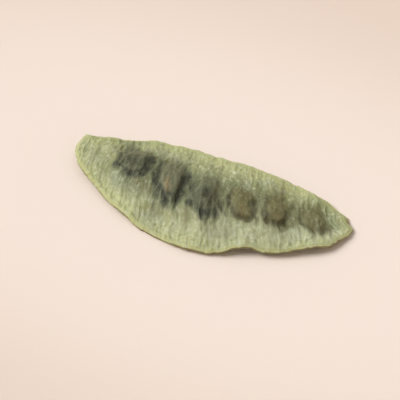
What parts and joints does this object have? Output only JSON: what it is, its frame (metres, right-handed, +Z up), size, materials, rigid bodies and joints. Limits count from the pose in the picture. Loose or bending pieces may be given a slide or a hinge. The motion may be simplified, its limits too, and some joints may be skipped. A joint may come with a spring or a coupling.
{
  "type": "dried senna pod",
  "caption": "Flat, gently arched dried seed pod of senna with a waved edge, lying on one face, its seeds showing as swellings in a row.",
  "frame": {"origin": "centre of the bounding box in plan, on the surface that the pod lies on", "axes": "+X along the pod, towards the pointed end where its stalk broke off; +Y towards the straighter edge, which carries the seeds; +Z up, out of the face that shows"},
  "size_m": [0.0462, 0.019, 0.0041],
  "materials": {
    "dried_pod": "matt, papery, sage green with dark patches over the seeds and a pale rim"
  },
  "bodies": {
    "root": {"senna_pod": "dried_pod"}
  },
  "joints": []
}
